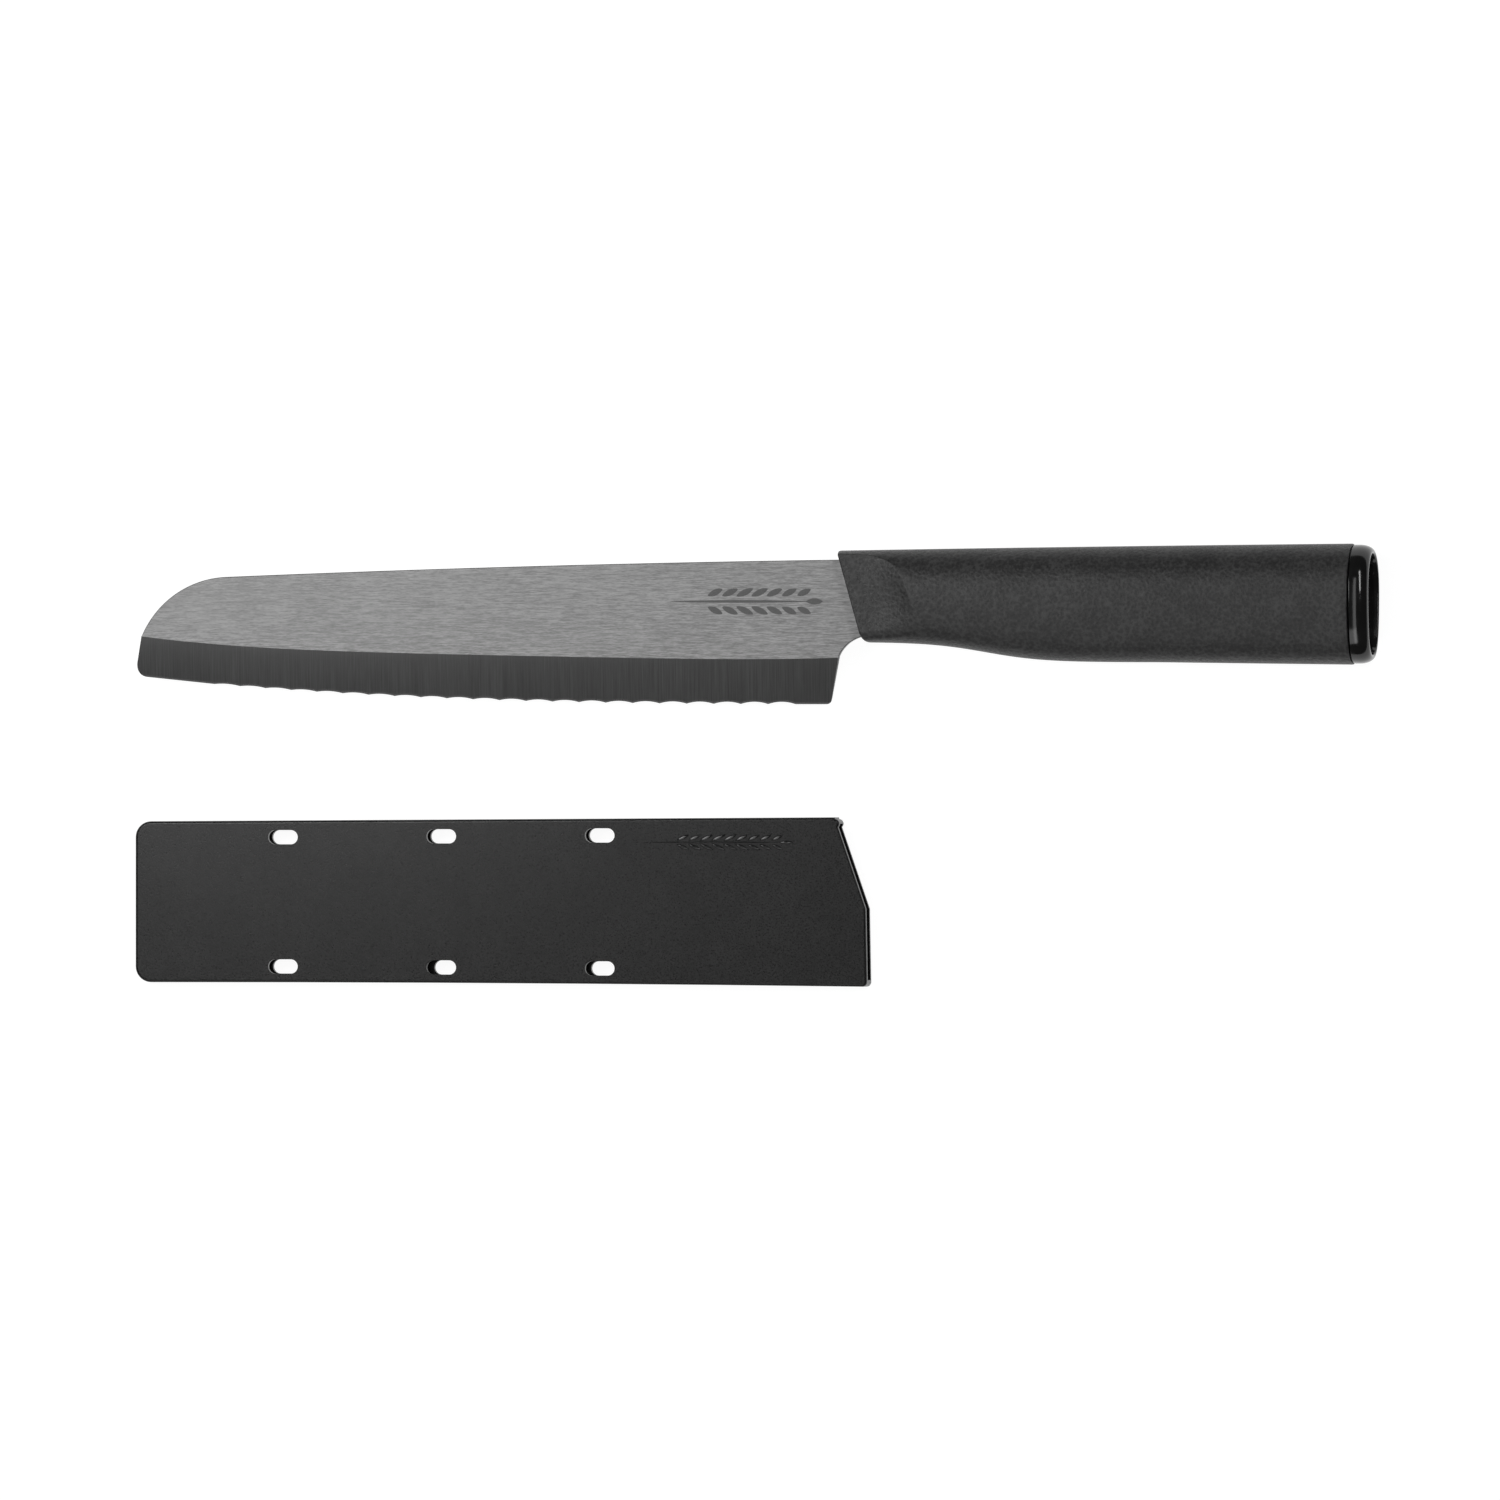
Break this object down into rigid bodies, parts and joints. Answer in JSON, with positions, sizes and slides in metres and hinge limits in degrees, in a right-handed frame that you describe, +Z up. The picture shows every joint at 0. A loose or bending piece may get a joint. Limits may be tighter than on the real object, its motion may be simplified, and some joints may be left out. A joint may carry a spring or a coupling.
{
  "type": "bread knife with blade cover",
  "caption": "Bread knife with a serrated ceramic blade, a soft-touch handle with a glossy end cap, and a slip-on blade cover lying beside it.",
  "frame": {"origin": "on the table, under the middle of the box around knife and cover", "axes": "+X from the blade's tip to the handle's butt, +Y from the cutting edge to the spine, +Z up from the table"},
  "size_m": [0.3174, 0.1116, 0.0212],
  "materials": {
    "blade": "fine-brushed flats, ground bevel",
    "adhesive": "cured resin",
    "pins": "plain turned",
    "core": "moulded",
    "grip": "stippled soft-touch",
    "end_cap": "polished",
    "cover": "fine-grained"
  },
  "bodies": {
    "knife": {"blade": "blade", "tang_bond": "adhesive", "tang_pins": "pins", "handle_core_left": "core", "handle_core_right": "core", "grip_sleeve": "grip", "end_cap": "end_cap"},
    "cover": {"blade_cover": "cover"}
  },
  "joints": [
    {"name": "cover_slide", "type": "slide", "parent": "knife", "child": "cover", "axis": [1, 0, 0], "range_m": [-0.18, 0]}
  ]
}
